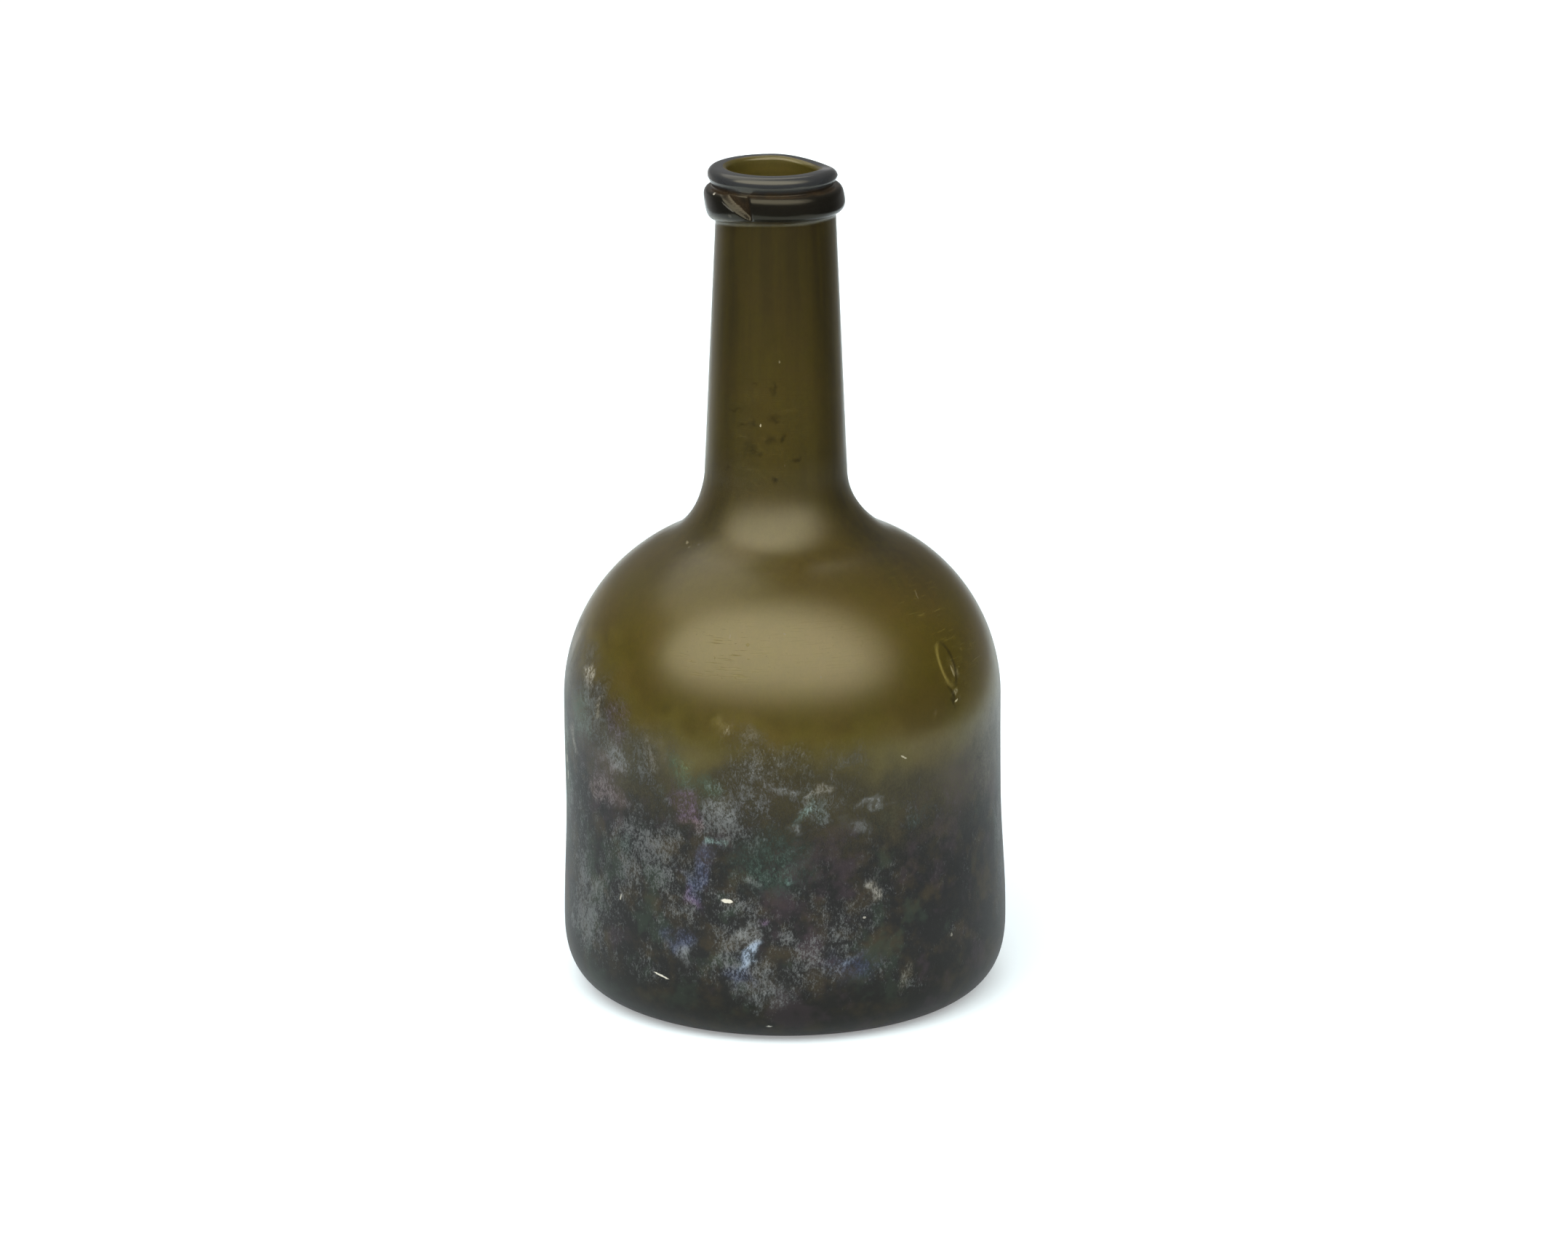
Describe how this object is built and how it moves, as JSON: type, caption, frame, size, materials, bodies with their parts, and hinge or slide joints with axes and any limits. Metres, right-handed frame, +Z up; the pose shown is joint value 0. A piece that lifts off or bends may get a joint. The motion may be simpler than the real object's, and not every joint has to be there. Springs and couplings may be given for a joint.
{
  "type": "glass bottle",
  "caption": "Free-blown mallet wine bottle of dark olive glass: upright side, domed shoulder, tall neck with a laid-on string rim, and a deep kick-up in the base.",
  "frame": {"origin": "centre of the base, on the plane that the bottle stands on", "axes": "+Z up the bottle to its mouth, -Y towards the front, where the string rim's lap join is, +X to the right of someone facing the front"},
  "size_m": [0.1122, 0.1122, 0.2103],
  "materials": {
    "olive_glass": "dull olive glass with a soft, iridescent burial patina on the lower half"
  },
  "bodies": {
    "root": {"bottle": "olive_glass"}
  },
  "joints": []
}
